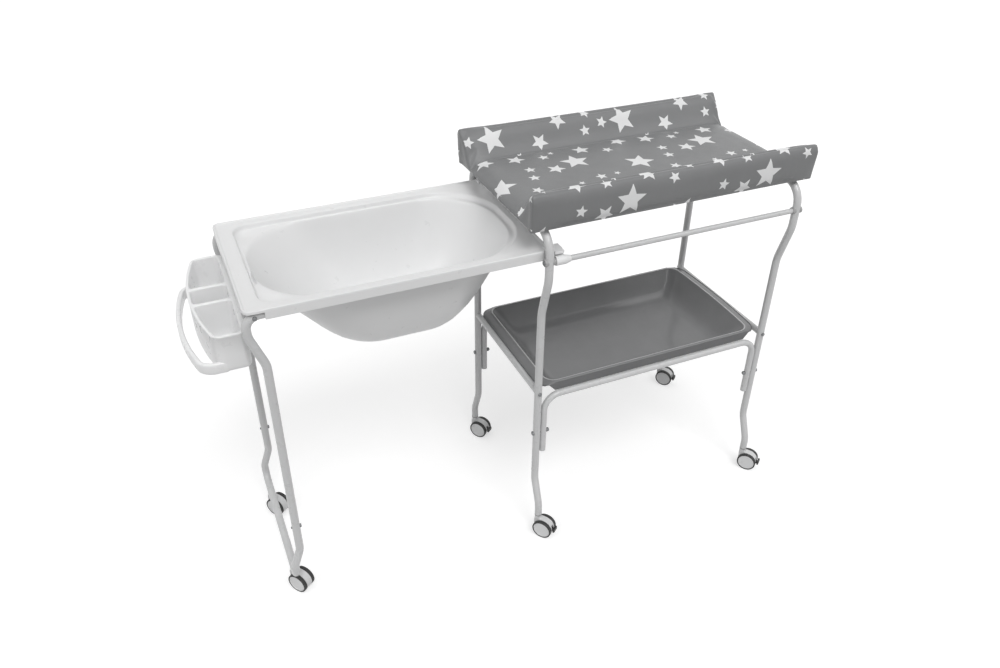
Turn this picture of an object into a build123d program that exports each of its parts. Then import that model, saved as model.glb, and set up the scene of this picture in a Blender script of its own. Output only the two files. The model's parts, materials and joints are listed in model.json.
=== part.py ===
from build123d import *
import math
import os

os.makedirs("parts", exist_ok=True)

# Bath and changing table: two inverted-U end frames carry a changing mat and a shelf tray.
# A bath tub on its own wheeled leg frame slides along two guide rods, under the mat.
# Millimetres. X runs along the table, Y to the back, Z up. The model is drawn with the
# front leg of the left end frame at X = 0, Y = 0, then moved so that the origin is on the
# floor under the middle of the whole table.

# ---------------------------------------------------------------- driving sizes
# steel tube
tube_d = 18.0
tube_wall = 1.2
rail_d = 16.0
rail_wall = 1.2

# end frames
frame_length = 630.0
frame_depth = 362.0
top_bulge = 26.0
foot_flare = 28.0
top_bar_z = 840.0
top_corner_radius = 48.0
upper_bend_top_z = 735.0
upper_bend_low_z = 640.0
upper_bend_radius = 100.0
foot_bend_top_z = 160.0
foot_bend_low_z = 92.0
foot_bend_radius = 60.0

# shelf, guide rods and their fasteners
cross_tube_z = 425.0
cross_plug_length = 22.0
shelf_rail_z = 408.0
rail_bend_radius = 40.0
rail_end_z = 246.0
rail_bolt_z = 305.0
guide_rod_d = 12.0
guide_rod_z = 780.0
saddle_d = 16.0
saddle_thickness = 3.0
screw_d = 5.0
screw_head_d = 9.0
screw_head_h = 3.0
screw_grip = 14.0
bolt_d = 6.0
bolt_head_d = 11.0
bolt_head_h = 3.5
cap_nut_d = 10.0
cap_nut_h = 7.0

# changing mat
mat_overhang = 34.0
mat_width = 412.0
mat_shift_x = -6.0
mat_board_thickness = 4.0
mat_board_inset = 8.0
mat_pad_thickness = 19.0
mat_wing_height = 80.0
mat_wing_width = 72.0
mat_wing_ridge = 12.0
clip_web = 2.0
clip_wall = 3.5
clip_length = 30.0
clip_drop = 12.0
clip_pitch = 190.0

# shelf tray
shelf_tray_length = 622.0
shelf_tray_width = 356.0
shelf_tray_wall = 2.5
shelf_tray_rim_rise = 8.0
shelf_tray_side_flange = 10.0
shelf_tray_end_flange = 26.0
shelf_tray_corner = 30.0
shelf_tray_depth = 68.0
shelf_tray_floor_length = 464.0
shelf_tray_floor_width = 224.0
shelf_tray_floor_corner = 24.0
shelf_tray_floor_fillet = 14.0

# bath tub
tub_length = 610.0
rim_clearance = 4.0
rim_top_z = 800.0
rim_skirt = 22.0
rim_lip_height = 3.0
rim_lip_width = 5.0
rim_corner = 14.0
deck_thickness = 3.5
tub_wall = 3.0
bowl_left_margin = 45.0
bowl_right_margin = 24.0
bowl_side_margin = 28.0
bowl_corner = 130.0
bowl_depth = 195.0
bowl_floor_length = 245.0
bowl_floor_width = 190.0
bowl_floor_corner = 80.0
bowl_floor_right_margin = 157.0
bowl_floor_fillet = 38.0
bowl_waist_drop = 100.0
bowl_waist_length = 415.0
bowl_waist_width = 284.0
bowl_waist_corner = 100.0
bowl_waist_right_margin = 77.0
drain_d = 30.0
drain_offset = 55.0
plug_flange_d = 40.0
plug_flange_h = 4.0
plug_ring_d = 16.0

# bath legs
carriage_leg_x = -583.0
leg_elbow_out = 25.0
leg_elbow_radius = 28.0
leg_elbow_low_z = 740.0
leg_offset_low_z = 670.0
leg_offset_radius = 60.0
leg_joint_z = 250.0
leg_spigot_length = 60.0
leg_swage_length = 12.0
leg_bolt_drop = 18.0
foot_offset_top_z = 160.0
foot_offset_low_z = 112.0
foot_offset_x = 17.0
cross_bar_z = 70.0
cross_bar_corner = 32.0
cross_bar_boss_d = 16.0
caster_inset = 48.0
short_stem_cover = 3.5
carriage_screw_x = -590.0
tub_boss_length = 14.0
tub_boss_width = 16.0

# sliders on the guide rods
slider_plug_length = 26.0
slider_neck_width = 16.0
slider_lip = 12.0
slider_start = 13.0
slider_sleeve_d = 20.0
slider_sleeve_length = 22.0
slider_cone_length = 12.0
slider_cone_d = 14.5
slider_tongue_length = 21.0
slider_tongue_height = 6.0
slider_block_height = 19.0

# soap tray
soap_length = 321.0
soap_rim_z = 743.0
soap_depth = 82.0
soap_reach_end = 62.0
soap_reach_middle = 87.0
soap_wall = 2.5
soap_floor = 3.0
soap_corner = 14.0
soap_middle_width = 64.0
soap_plate_width = 240.0
soap_plate_gap = 2.0
soap_plate_drop = 20.0
soap_foot_height = 10.0
soap_rib_drop = 8.0
soap_divider_drop = 6.0
soap_screw_d = 4.0
soap_screw_head_d = 8.0
soap_screw_head_h = 2.5
soap_screw_spread = 168.0
soap_screw_rise = 4.0
towel_rail_reach_end = 94.0
towel_rail_reach_middle = 119.0
towel_rail_thickness = 10.0
towel_rail_height = 24.0
towel_rail_corner = 26.0

# casters
wheel_d = 50.0
hub_d = 44.0
wheel_width = 9.2
wheel_gap = 17.0
caster_trail = 18.0
caster_top_z = 58.0
caster_angle = -52.0
housing_width = 16.4
housing_d = 49.0
housing_foot_z = 12.0
swivel_boss_d = 17.0
stem_d = 8.0
stem_seat_depth = 16.0
stem_length = 34.0
axle_d = 6.0
socket_collar = 3.0
socket_plug_length = 18.0
brake_pivot = 14.0
brake_pin_d = 3.0
brake_hub_d = 8.0
brake_reach = 18.0
brake_thickness = 6.0
brake_pad_height = 11.0
brake_pad_depth = 5.0
brake_cheek = 4.2

# clearances
seat_gap = 0.3
fit_gap = 0.1
hole_gap = 0.2

# ---------------------------------------------------------------- derived places
tube_r = tube_d / 2
rail_r = rail_d / 2
middle_y = frame_depth / 2
leg_ys = (0.0, frame_depth)
frame_xs = (0.0, frame_length)
top_bar_top_z = top_bar_z + tube_r
rod_ys = (-top_bulge, frame_depth + top_bulge)
foot_ys = (-foot_flare, frame_depth + foot_flare)
stem_base_z = caster_top_z - stem_seat_depth
rail_x = tube_r + rail_r + hole_gap

mat_bottom_z = top_bar_top_z + seat_gap + clip_web
mat_length = frame_length + 2 * mat_overhang
mat_middle_x = frame_length / 2 + mat_shift_x

rim_y0 = -top_bulge + tube_r + rim_clearance
rim_width = frame_depth - 2 * rim_y0
rim_bottom_z = rim_top_z - rim_skirt
deck_top_z = rim_top_z - rim_lip_height
deck_under_z = deck_top_z - deck_thickness
bowl_floor_z = deck_top_z - bowl_depth
tub_middle_x = -tub_length / 2
bowl_length = tub_length - bowl_left_margin - bowl_right_margin
bowl_width = rim_width - 2 * bowl_side_margin
bowl_middle_x = -tub_length + bowl_left_margin + bowl_length / 2
bowl_floor_x = -bowl_floor_right_margin - bowl_floor_length / 2
bowl_waist_x = -bowl_waist_right_margin - bowl_waist_length / 2
drain_x = bowl_floor_x + drain_offset
carriage_tube_z = deck_under_z - seat_gap - tube_r
carriage_tube_end_x = -rim_corner - tub_wall
elbow_x = carriage_leg_x - leg_elbow_out
elbow_middle_x = elbow_x + leg_elbow_radius
elbow_middle_z = carriage_tube_z - leg_elbow_radius
carriage_screw_z = elbow_middle_z + math.sqrt(leg_elbow_radius**2 - (elbow_middle_x - carriage_screw_x) ** 2)
spigot_d = tube_d - 2 * tube_wall - 2 * fit_gap
leg_bolt_z = leg_joint_z - leg_bolt_drop
cross_bar_x = carriage_leg_x - foot_offset_x
bar_caster_ys = (caster_inset, frame_depth - caster_inset)
short_stem = cross_bar_z + tube_r - short_stem_cover - stem_base_z
axle_z = wheel_d / 2
brake_y = housing_width / 2 - brake_cheek

soap_wall_x = -tub_length + tub_wall + soap_plate_gap
soap_plate_top_z = deck_under_z - soap_plate_gap
soap_foot_z = soap_rim_z - soap_plate_drop
soap_rib_x = soap_wall_x + soap_wall + seat_gap
soap_screw_ys = (middle_y - soap_screw_spread / 2, middle_y + soap_screw_spread / 2)
soap_screw_z = rim_bottom_z + soap_screw_rise

parts = {}


# ---------------------------------------------------------------- helpers
def pipe(points, bends, diameter):
    """A solid bar along straight runs joined by arcs."""
    path = FilletPolyline(*points, radius=bends)
    start = Plane(origin=path @ 0, z_dir=path % 0)
    return sweep(start * Circle(diameter / 2), path=path)


def tube(points, bends, diameter, wall):
    """A bent tube."""
    return pipe(points, bends, diameter) - pipe(points, bends, diameter - 2 * wall)


def rod(start, end, diameter, end_diameter=None):
    """A straight round bar, or a cone, from one point to another."""
    line = Vector(*end) - Vector(*start)
    along = Plane(origin=start, z_dir=line)
    grip = (Align.CENTER, Align.CENTER, Align.MIN)
    if end_diameter is None:
        return along * Cylinder(diameter / 2, line.length, align=grip)
    return along * Cone(diameter / 2, end_diameter / 2, line.length, align=grip)


def block(low, high):
    """A box from its lowest corner to its highest."""
    size = [b - a for a, b in zip(low, high)]
    return Pos(*low) * Box(*size, align=(Align.MIN, Align.MIN, Align.MIN))


def step(point, direction, distance):
    """A point moved along a direction."""
    return tuple(p + d * distance for p, d in zip(point, direction))


def screw(seat, inward, length, shank_d, head_d, head_h):
    """A pan-head screw: its head stands on the seat, its shank goes inward."""
    head_top = step(seat, inward, -head_h)
    head = rod(seat, head_top, head_d)
    head = fillet(head.edges().filter_by(GeomType.CIRCLE).sort_by_distance(head_top)[0], head_h * 0.6)
    return head + rod(seat, step(seat, inward, length), shank_d)


def across(y):
    """+1 for the back half and -1 for the front half."""
    return 1 if y > middle_y else -1


# ---------------------------------------------------------------- end frames
def end_frame(x):
    side = [
        (x, -foot_flare, caster_top_z + seat_gap + socket_collar),
        (x, -foot_flare, foot_bend_low_z),
        (x, 0, foot_bend_top_z),
        (x, 0, upper_bend_low_z),
        (x, -top_bulge, upper_bend_top_z),
        (x, -top_bulge, top_bar_z),
    ]
    other = [(x, frame_depth - y, z) for _, y, z in reversed(side)]
    bends = [foot_bend_radius] * 2 + [upper_bend_radius] * 2 + [top_corner_radius]
    frame = tube(side + other, bends + bends[::-1], tube_d, tube_wall)
    for y in rod_ys:
        frame -= rod((x - tube_d, y, guide_rod_z), (x + tube_d, y, guide_rod_z), screw_d + 2 * hole_gap)
    for y in leg_ys:
        frame -= rod((x - tube_d, y, rail_bolt_z), (x + tube_d, y, rail_bolt_z), bolt_d + 2 * hole_gap)
        frame -= rod((x, y - tube_d, cross_tube_z), (x, y + tube_d, cross_tube_z), screw_d + 2 * hole_gap)
    return frame


parts["left_end_frame"] = end_frame(0)
parts["right_end_frame"] = end_frame(frame_length)


# ---------------------------------------------------------------- shelf tubes
def cross_tube(x):
    reach = tube_r + hole_gap
    bar = rod((x, 0, cross_tube_z), (x, frame_depth, cross_tube_z), rail_d)
    core_start = reach + cross_plug_length
    bar -= rod(
        (x, core_start, cross_tube_z),
        (x, frame_depth - core_start, cross_tube_z),
        rail_d - 2 * rail_wall,
    )
    for y in leg_ys:
        bar -= rod((x, y, cross_tube_z - tube_d), (x, y, cross_tube_z + tube_d), 2 * reach)
        tip = y - across(y) * (tube_r + screw_grip + 1)
        bar -= rod((x, y, cross_tube_z), (x, tip, cross_tube_z), screw_d + 2 * fit_gap)
    return bar


def shelf_rail(y):
    points = [
        (rail_x, y, rail_end_z),
        (rail_x, y, shelf_rail_z),
        (frame_length - rail_x, y, shelf_rail_z),
        (frame_length - rail_x, y, rail_end_z),
    ]
    rail = tube(points, [rail_bend_radius] * 2, rail_d, rail_wall)
    for x in (rail_x, frame_length - rail_x):
        rail -= rod((x - rail_d, y, rail_bolt_z), (x + rail_d, y, rail_bolt_z), bolt_d + 2 * hole_gap)
    return rail


def guide_rod(y):
    inset = tube_r + saddle_thickness
    bar = rod((inset, y, guide_rod_z), (frame_length - inset, y, guide_rod_z), guide_rod_d)
    for x, way in ((inset, 1), (frame_length - inset, -1)):
        bar -= rod((x, y, guide_rod_z), (x + way * (screw_grip + 1), y, guide_rod_z), screw_d + 2 * fit_gap)
    return bar


parts["left_cross_tube"] = cross_tube(0)
parts["right_cross_tube"] = cross_tube(frame_length)
parts["front_shelf_rail"] = shelf_rail(0)
parts["rear_shelf_rail"] = shelf_rail(frame_depth)
parts["front_guide_rod"] = guide_rod(rod_ys[0])
parts["rear_guide_rod"] = guide_rod(rod_ys[1])


# ---------------------------------------------------------------- frame fasteners
def saddle(x, y, way):
    """A washer, hollowed on one side to sit on the leg's tube."""
    start = (x, y, guide_rod_z)
    washer = rod(start, step(start, (way, 0, 0), tube_r + saddle_thickness), saddle_d)
    washer -= rod((x, y, guide_rod_z - tube_d), (x, y, guide_rod_z + tube_d), tube_d + 2 * fit_gap)
    return washer - rod(start, step(start, (way, 0, 0), tube_d), screw_d + 2 * hole_gap)


def outward(x):
    """-1 at the left end frame and +1 at the right one."""
    return -1 if x == frame_xs[0] else 1


saddles = []
rod_screws = []
cross_screws = []
rail_bolts = []
cap_nuts = []
for x in frame_xs:
    way = outward(x)
    for y in rod_ys:
        saddles += [saddle(x, y, way), saddle(x, y, -way)]
        seat = (x + way * (tube_r + saddle_thickness), y, guide_rod_z)
        length = 2 * (tube_r + saddle_thickness) + screw_grip
        rod_screws.append(screw(seat, (-way, 0, 0), length, screw_d, screw_head_d, screw_head_h))
    for y in leg_ys:
        seat = (x, y + across(y) * tube_r, cross_tube_z)
        length = tube_d + screw_grip
        cross_screws.append(screw(seat, (0, -across(y), 0), length, screw_d, screw_head_d, screw_head_h))
        seat = (x + way * tube_r, y, rail_bolt_z)
        nut_seat = (x - way * (tube_r + hole_gap + rail_d), y, rail_bolt_z)
        length = abs(nut_seat[0] - seat[0]) + cap_nut_h - 2
        rail_bolts.append(screw(seat, (-way, 0, 0), length, bolt_d, bolt_head_d, bolt_head_h))
        nut = rod(nut_seat, step(nut_seat, (-way, 0, 0), cap_nut_h), cap_nut_d)
        nut_tip = step(nut_seat, (-way, 0, 0), cap_nut_h)
        nut = fillet(nut.edges().filter_by(GeomType.CIRCLE).sort_by_distance(nut_tip)[0], cap_nut_d * 0.3)
        nut -= rod(nut_seat, step(nut_seat, (-way, 0, 0), cap_nut_h - 1.5), bolt_d + 2 * fit_gap)
        cap_nuts.append(nut)

parts["rod_saddles"] = saddles
parts["frame_screws"] = rod_screws + cross_screws
parts["rail_bolts"] = rail_bolts
parts["rail_cap_nuts"] = cap_nuts


def leg_socket(x, y):
    """A plastic plug in a leg's foot that holds a caster stem."""
    foot_z = caster_top_z + seat_gap
    collar = rod((x, y, foot_z), (x, y, foot_z + socket_collar), tube_d)
    plug_d = tube_d - 2 * tube_wall - 2 * fit_gap
    plug = rod((x, y, foot_z), (x, y, foot_z + socket_collar + socket_plug_length), plug_d)
    bore_top = stem_base_z + stem_length + 1
    return collar + plug - rod((x, y, foot_z), (x, y, bore_top), stem_d + 2 * fit_gap)


parts["leg_sockets"] = [leg_socket(x, y) for x in frame_xs for y in foot_ys]


# ---------------------------------------------------------------- changing mat
def mat_board():
    board_length = mat_length - 2 * mat_board_inset
    board_width = mat_width - 2 * mat_board_inset
    board = Pos(mat_middle_x, middle_y, mat_bottom_z) * Box(
        board_length, board_width, mat_board_thickness, align=(Align.CENTER, Align.CENTER, Align.MIN)
    )
    return fillet(board.edges().filter_by(Axis.Z), 6)


def mat_pad():
    """The padded mat: a flat pad with a wedge-shaped wing along each long side."""
    half = mat_width / 2
    low = top_bar_top_z + seat_gap
    pad_top = low + mat_pad_thickness
    wing_top = low + mat_wing_height
    profile = [(-half, low), (half, low)]
    profile += [(half, wing_top), (half - mat_wing_ridge, wing_top), (half - mat_wing_width, pad_top)]
    profile += [(-y, z) for y, z in reversed(profile[2:])]
    start = Plane(origin=(mat_middle_x - mat_length / 2, middle_y, 0), x_dir=(0, 1, 0), z_dir=(1, 0, 0))
    pad = extrude(start * make_face(Polyline(*profile, close=True)), amount=mat_length)
    pad = fillet(pad.edges().filter_by(Axis.X).sort_by(Axis.Z)[-4:], 4)
    # the board and the clips sit in a recess under the pad
    half_x = mat_length / 2 - mat_board_inset + seat_gap
    half_y = mat_width / 2 - mat_board_inset + seat_gap
    return pad - block(
        (mat_middle_x - half_x, middle_y - half_y, low - 1),
        (mat_middle_x + half_x, middle_y + half_y, mat_bottom_z + mat_board_thickness + seat_gap),
    )


def mat_clip(x, y):
    """A saddle under the mat that drops over a top bar."""
    half = tube_r + seat_gap + clip_wall
    clip = block(
        (x - half, y - clip_length / 2, top_bar_z - clip_drop / 2),
        (x + half, y + clip_length / 2, mat_bottom_z),
    )
    groove = 2 * (tube_r + seat_gap)
    ends = (y - clip_length, y + clip_length)
    clip -= rod((x, ends[0], top_bar_z), (x, ends[1], top_bar_z), groove)
    groove_low = (x - groove / 2, ends[0], top_bar_z - clip_drop)
    return clip - block(groove_low, (x + groove / 2, ends[1], top_bar_z))


parts["mat_board"] = mat_board()
parts["changing_mat"] = mat_pad()
clip_ys = (middle_y - clip_pitch / 2, middle_y + clip_pitch / 2)
parts["mat_clips"] = [mat_clip(x, y) for x in frame_xs for y in clip_ys]


# ---------------------------------------------------------------- shelf tray
def rounded_block(x, y, z0, z1, length, width, corner):
    base = Pos(x, y, z0) * RectangleRounded(length, width, corner)
    return extrude(base, amount=z1 - z0)


def shelf_tray():
    x = frame_length / 2
    rail_seat = shelf_rail_z + rail_r + seat_gap
    end_seat = cross_tube_z + rail_r + seat_gap
    rim_top = end_seat + shelf_tray_rim_rise
    wall = shelf_tray_wall
    length = shelf_tray_length
    width = shelf_tray_width
    rim = rounded_block(x, middle_y, rail_seat, rim_top, length, width, shelf_tray_corner)
    rim -= rounded_block(
        x,
        middle_y,
        rail_seat,
        rim_top - wall,
        length - 2 * wall,
        width - 2 * wall,
        shelf_tray_corner - wall,
    )
    # the end flanges are shorter, because they rest on the cross tubes
    for way in (-1, 1):
        edge = x + way * length / 2
        rim -= block(
            (edge - shelf_tray_corner, -1, rail_seat),
            (edge + shelf_tray_corner, frame_depth + 1, end_seat),
        )
    mouth_length = length - 2 * shelf_tray_end_flange
    mouth_width = width - 2 * shelf_tray_side_flange
    mouth_corner = shelf_tray_corner * 0.8
    floor_z = rim_top - shelf_tray_depth

    def pan(shrink, lift):
        low = Pos(x, middle_y, floor_z + lift) * RectangleRounded(
            shelf_tray_floor_length - 2 * shrink,
            shelf_tray_floor_width - 2 * shrink,
            shelf_tray_floor_corner - shrink,
        )
        high = Pos(x, middle_y, rim_top) * RectangleRounded(
            mouth_length - 2 * shrink, mouth_width - 2 * shrink, mouth_corner - shrink
        )
        body = loft([low.face(), high.face()], ruled=True)
        return fillet(body.edges().group_by(Axis.Z)[0], shelf_tray_floor_fillet - shrink)

    return rim + pan(0, 0) - pan(wall, wall)


parts["shelf_tray"] = shelf_tray()


# ---------------------------------------------------------------- bath tub
def bowl(shrink, lift):
    """The bowl as a solid body, its top at the deck's upper face."""
    low = Pos(bowl_floor_x, middle_y, bowl_floor_z + lift) * RectangleRounded(
        bowl_floor_length - 2 * shrink, bowl_floor_width - 2 * shrink, bowl_floor_corner - shrink
    )
    waist = Pos(bowl_waist_x, middle_y, deck_top_z - bowl_waist_drop) * RectangleRounded(
        bowl_waist_length - 2 * shrink, bowl_waist_width - 2 * shrink, bowl_waist_corner - shrink
    )
    high = Pos(bowl_middle_x, middle_y, deck_top_z) * RectangleRounded(
        bowl_length - 2 * shrink, bowl_width - 2 * shrink, bowl_corner - shrink
    )
    body = loft([low.face(), waist.face(), high.face()])
    floor_edges = body.edges().group_by(Axis.Z)[0]
    return fillet(floor_edges, bowl_floor_fillet - shrink)


def tub_boss(y):
    """A block under the deck, beside the leg tube, that takes a screw."""
    inner = y - across(y) * (tube_r + seat_gap)
    outer = inner - across(y) * tub_boss_length
    low_y, high_y = sorted((inner, outer))
    half = tub_boss_width / 2
    boss = block(
        (carriage_screw_x - half, low_y, rim_bottom_z + 1), (carriage_screw_x + half, high_y, deck_under_z)
    )
    return boss - rod(
        (carriage_screw_x, inner, carriage_screw_z),
        (carriage_screw_x, inner - across(y) * (tub_boss_length - 2), carriage_screw_z),
        screw_d + 2 * fit_gap,
    )


def bath_tub():
    outer = rounded_block(tub_middle_x, middle_y, rim_bottom_z, rim_top_z, tub_length, rim_width, rim_corner)
    outer -= rounded_block(
        tub_middle_x,
        middle_y,
        rim_bottom_z,
        deck_under_z,
        tub_length - 2 * tub_wall,
        rim_width - 2 * tub_wall,
        rim_corner - tub_wall,
    )
    outer -= rounded_block(
        tub_middle_x,
        middle_y,
        deck_top_z,
        rim_top_z,
        tub_length - 2 * rim_lip_width,
        rim_width - 2 * rim_lip_width,
        rim_corner - rim_lip_width,
    )
    tub = outer + bowl(0, 0) - bowl(tub_wall, tub_wall)
    tub -= rod(
        (drain_x, middle_y, bowl_floor_z - 1), (drain_x, middle_y, bowl_floor_z + tub_wall + 1), drain_d
    )
    # the skirt is cut away where the leg tubes come out at the left corners
    for y in leg_ys:
        edge = y + across(y) * (-rim_y0 + 1)
        low_y, high_y = sorted((edge, y - across(y) * (tube_r + 2)))
        cut_low = (-tub_length - 1, low_y, rim_bottom_z - 1)
        tub -= block(cut_low, (elbow_middle_x + tube_r, high_y, deck_under_z))
        tub += tub_boss(y)
        half = slider_neck_width / 2 + seat_gap
        tub -= block((-rim_corner, y - half, rim_bottom_z - 1), (1, y + half, deck_under_z))
    # a rib behind the skirt holds the soap tray's back plate
    half = soap_plate_width / 2
    tub += block(
        (soap_rib_x, middle_y - half, rim_bottom_z - soap_rib_drop),
        (soap_rib_x + tub_wall, middle_y + half, deck_under_z),
    )
    screw_hole = soap_screw_d + 2 * hole_gap
    for y in soap_screw_ys:
        hole_start = (soap_rib_x - 1, y, soap_screw_z)
        tub -= rod(hole_start, step(hole_start, (1, 0, 0), tub_wall + 2), screw_hole)
    return tub


parts["bath_tub"] = bath_tub()


def drain_plug():
    low = bowl_floor_z + tub_wall + seat_gap / 2
    stopper = rod(
        (drain_x, middle_y, low + 1), (drain_x, middle_y, bowl_floor_z - 3), drain_d - 1, drain_d - 4
    )
    flange = rod((drain_x, middle_y, low), (drain_x, middle_y, low + plug_flange_h), plug_flange_d)
    grip = Pos(drain_x, middle_y, low + plug_flange_h + plug_ring_d / 2 - 2) * Rot(90, 0, 0) * Torus(
        plug_ring_d / 2 - 2, 2
    )
    return stopper + flange + grip


parts["drain_plug"] = drain_plug()


# ---------------------------------------------------------------- bath legs
def upper_leg(y):
    """One tube: a run under the rim, an elbow, an offset and the upper half of a leg."""
    points = [
        (carriage_tube_end_x, y, carriage_tube_z),
        (elbow_x, y, carriage_tube_z),
        (elbow_x, y, leg_elbow_low_z),
        (carriage_leg_x, y, leg_offset_low_z),
        (carriage_leg_x, y, leg_joint_z + seat_gap),
    ]
    leg = tube(points, [leg_elbow_radius, leg_offset_radius, leg_offset_radius], tube_d, tube_wall)
    base = (carriage_leg_x, y, leg_joint_z + seat_gap)
    spigot = rod((carriage_leg_x, y, leg_joint_z - leg_spigot_length), base, spigot_d)
    spigot += rod(base, step(base, (0, 0, 1), leg_swage_length), tube_d)
    spigot -= rod(
        (carriage_leg_x, y, leg_joint_z - leg_spigot_length - 1),
        step(base, (0, 0, 1), leg_swage_length + 1),
        spigot_d - 2 * tube_wall,
    )
    leg += spigot
    bolt_start = (carriage_leg_x - tube_d, y, leg_bolt_z)
    leg -= rod(bolt_start, step(bolt_start, (1, 0, 0), 2 * tube_d), screw_d + 2 * hole_gap)
    return leg - rod(
        (carriage_screw_x, y - tube_d, carriage_screw_z),
        (carriage_screw_x, y + tube_d, carriage_screw_z),
        screw_d + 2 * hole_gap,
    )


parts["front_upper_leg"] = upper_leg(leg_ys[0])
parts["rear_upper_leg"] = upper_leg(leg_ys[1])

def lower_leg_frame():
    side = [
        (carriage_leg_x, 0, leg_joint_z),
        (carriage_leg_x, 0, foot_offset_top_z),
        (cross_bar_x, 0, foot_offset_low_z),
        (cross_bar_x, 0, cross_bar_z),
    ]
    other = [(x, frame_depth - y, z) for x, y, z in reversed(side)]
    bends = [foot_bend_radius, foot_bend_radius * 0.5, cross_bar_corner]
    frame = tube(side + other, bends + bends[::-1], tube_d, tube_wall)
    foot_z = caster_top_z + seat_gap
    bore_top = stem_base_z + short_stem + 1
    for y in bar_caster_ys:
        frame += rod((cross_bar_x, y, foot_z), (cross_bar_x, y, cross_bar_z + tube_r - 1), cross_bar_boss_d)
        frame -= rod((cross_bar_x, y, foot_z - 1), (cross_bar_x, y, bore_top), stem_d + 2 * fit_gap)
    for y in leg_ys:
        frame -= rod(
            (carriage_leg_x - tube_d, y, leg_bolt_z),
            (carriage_leg_x + tube_d, y, leg_bolt_z),
            screw_d + 2 * hole_gap,
        )
    return frame


parts["lower_leg_frame"] = lower_leg_frame()

leg_screws = []
for y in leg_ys:
    seat = (carriage_leg_x + tube_r, y, leg_bolt_z)
    leg_screws.append(screw(seat, (-1, 0, 0), tube_d + 2, screw_d, screw_head_d, screw_head_h))
    seat = (carriage_screw_x, y + across(y) * tube_r, carriage_screw_z)
    length = tube_d + tub_boss_length - 3
    leg_screws.append(screw(seat, (0, -across(y), 0), length, screw_d, screw_head_d, screw_head_h))
for y in soap_screw_ys:
    seat = (soap_rib_x + tub_wall, y, soap_screw_z)
    length = tub_wall + seat_gap + soap_wall
    leg_screws.append(screw(seat, (-1, 0, 0), length, soap_screw_d, soap_screw_head_d, soap_screw_head_h))
parts["carriage_screws"] = leg_screws


def slider(y):
    """A plastic end piece of the tub's tube, with a sleeve that runs on the guide rod."""
    out = across(y)
    rod_y = y + out * top_bulge
    end = slider_start + slider_sleeve_length
    plug_end_x = carriage_tube_end_x - slider_plug_length
    plug = rod((plug_end_x, y, carriage_tube_z), (seat_gap, y, carriage_tube_z), spigot_d)
    half = slider_neck_width / 2
    neck_x = carriage_tube_end_x + seat_gap
    body = block((neck_x, y - half, carriage_tube_z - half), (seat_gap, y + half, carriage_tube_z + half))
    inner = y - out * tube_r
    outer = y + out * slider_lip
    low_y, high_y = sorted((inner, outer))
    block_z = deck_under_z - seat_gap - slider_block_height
    body += block((seat_gap, low_y, block_z), (end, high_y, rim_top_z))
    low_y, high_y = sorted((outer - out, rod_y))
    sleeve_r = slider_sleeve_d / 2
    body += block((slider_start, low_y, guide_rod_z - sleeve_r), (end, high_y, guide_rod_z + sleeve_r - 1))
    body += rod((slider_start, rod_y, guide_rod_z), (end, rod_y, guide_rod_z), slider_sleeve_d)
    cone_end = (end + slider_cone_length, rod_y, guide_rod_z)
    body += rod((end, rod_y, guide_rod_z), cone_end, slider_sleeve_d, slider_cone_d)
    body -= rod((0, rod_y, guide_rod_z), step(cone_end, (1, 0, 0), 1), guide_rod_d + 2 * hole_gap)
    low_y, high_y = sorted((outer - out, rod_y - out * 2))
    body += block(
        (slider_start, low_y, rim_top_z - slider_tongue_height),
        (slider_start + slider_tongue_length, high_y, rim_top_z),
    )
    return body + plug


parts["front_slider"] = slider(leg_ys[0])
parts["rear_slider"] = slider(leg_ys[1])


# ---------------------------------------------------------------- soap tray
def bowed_outline(reach_end, reach_middle, corner, trim=0.0):
    """A face in plan: straight at the tub, bowed out at the far side."""
    half = soap_length / 2 - trim
    back = (soap_wall_x - trim, middle_y)
    end_x = soap_wall_x - reach_end + trim
    middle_x = soap_wall_x - reach_middle + trim
    sides = [
        Line((back[0], middle_y - half), (end_x, middle_y - half)),
        ThreePointArc((end_x, middle_y - half), (middle_x, middle_y), (end_x, middle_y + half)),
        Line((end_x, middle_y + half), (back[0], middle_y + half)),
        Line((back[0], middle_y + half), (back[0], middle_y - half)),
    ]
    face = make_face(sides)
    return fillet(face.vertices().sort_by(Axis.X)[:2], corner)


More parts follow.
